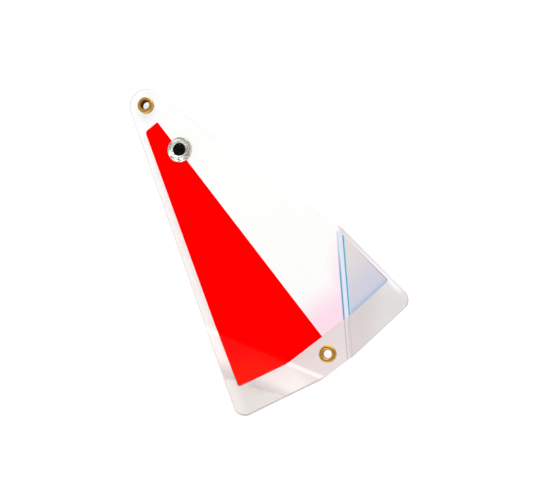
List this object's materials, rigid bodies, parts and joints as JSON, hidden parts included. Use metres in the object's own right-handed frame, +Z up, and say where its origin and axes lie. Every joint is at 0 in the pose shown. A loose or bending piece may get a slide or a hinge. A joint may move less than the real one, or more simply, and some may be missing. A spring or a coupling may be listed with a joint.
{
  "type": "trolling flasher",
  "caption": "Long triangular clear flasher blade with red and pearl film, brass grommets at nose and tail, raised eyes and two bent fins.",
  "frame": {"origin": "centre of the bounding box's base, on the table that the flasher lies on, front face up", "axes": "+X along the blade's length, from the nose grommet towards the tail; +Y towards the pearl film; +Z up"},
  "size_m": [0.2022, 0.1208, 0.0345],
  "materials": {
    "clear_polycarbonate": "clear, glossy, 1.6 mm sheet",
    "red_film": "opaque red adhesive film, glossy",
    "pearl_film": "pearl white adhesive film, iridescent gloss",
    "brass": "polished brass",
    "silver_foil": "crinkled silver foil",
    "pupil_black": "black print",
    "clear_resin": "clear cast resin, glossy"
  },
  "bodies": {
    "root": {"blade": "clear_polycarbonate", "front_red_film": "red_film", "back_red_film": "red_film", "front_pearl_film": "pearl_film", "back_pearl_film": "pearl_film", "nose_grommet": "brass", "nose_washer": "brass", "tail_grommet": "brass", "tail_washer": "brass", "front_eye_foil": "silver_foil", "front_eye_pupil": "pupil_black", "front_eye_dome": "clear_resin", "back_eye_foil": "silver_foil", "back_eye_pupil": "pupil_black", "back_eye_dome": "clear_resin"}
  },
  "joints": []
}
